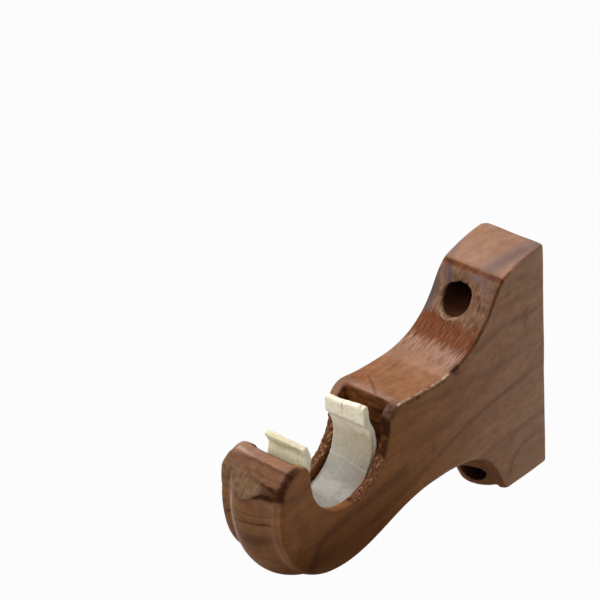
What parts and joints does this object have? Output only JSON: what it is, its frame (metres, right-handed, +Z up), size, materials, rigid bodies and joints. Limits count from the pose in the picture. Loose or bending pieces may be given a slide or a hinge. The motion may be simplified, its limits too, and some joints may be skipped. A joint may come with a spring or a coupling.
{
  "type": "curtain pole bracket",
  "caption": "Carved wooden wall bracket for a curtain pole, with an open round seat, a moulded underside and a plastic snap-in clip.",
  "frame": {"origin": "centre of the flat back face that lies against the wall", "axes": "+Y into the wall, -Y out into the room, +Z up, X along the pole and across the board"},
  "size_m": [0.02, 0.1092, 0.0682],
  "materials": {
    "lacquered_wood": "satin brown lacquer over straight grain",
    "clip_plastic": "off-white moulded plastic, slightly stained"
  },
  "bodies": {
    "root": {"bracket_body": "lacquered_wood", "pole_clip": "clip_plastic"}
  },
  "joints": []
}
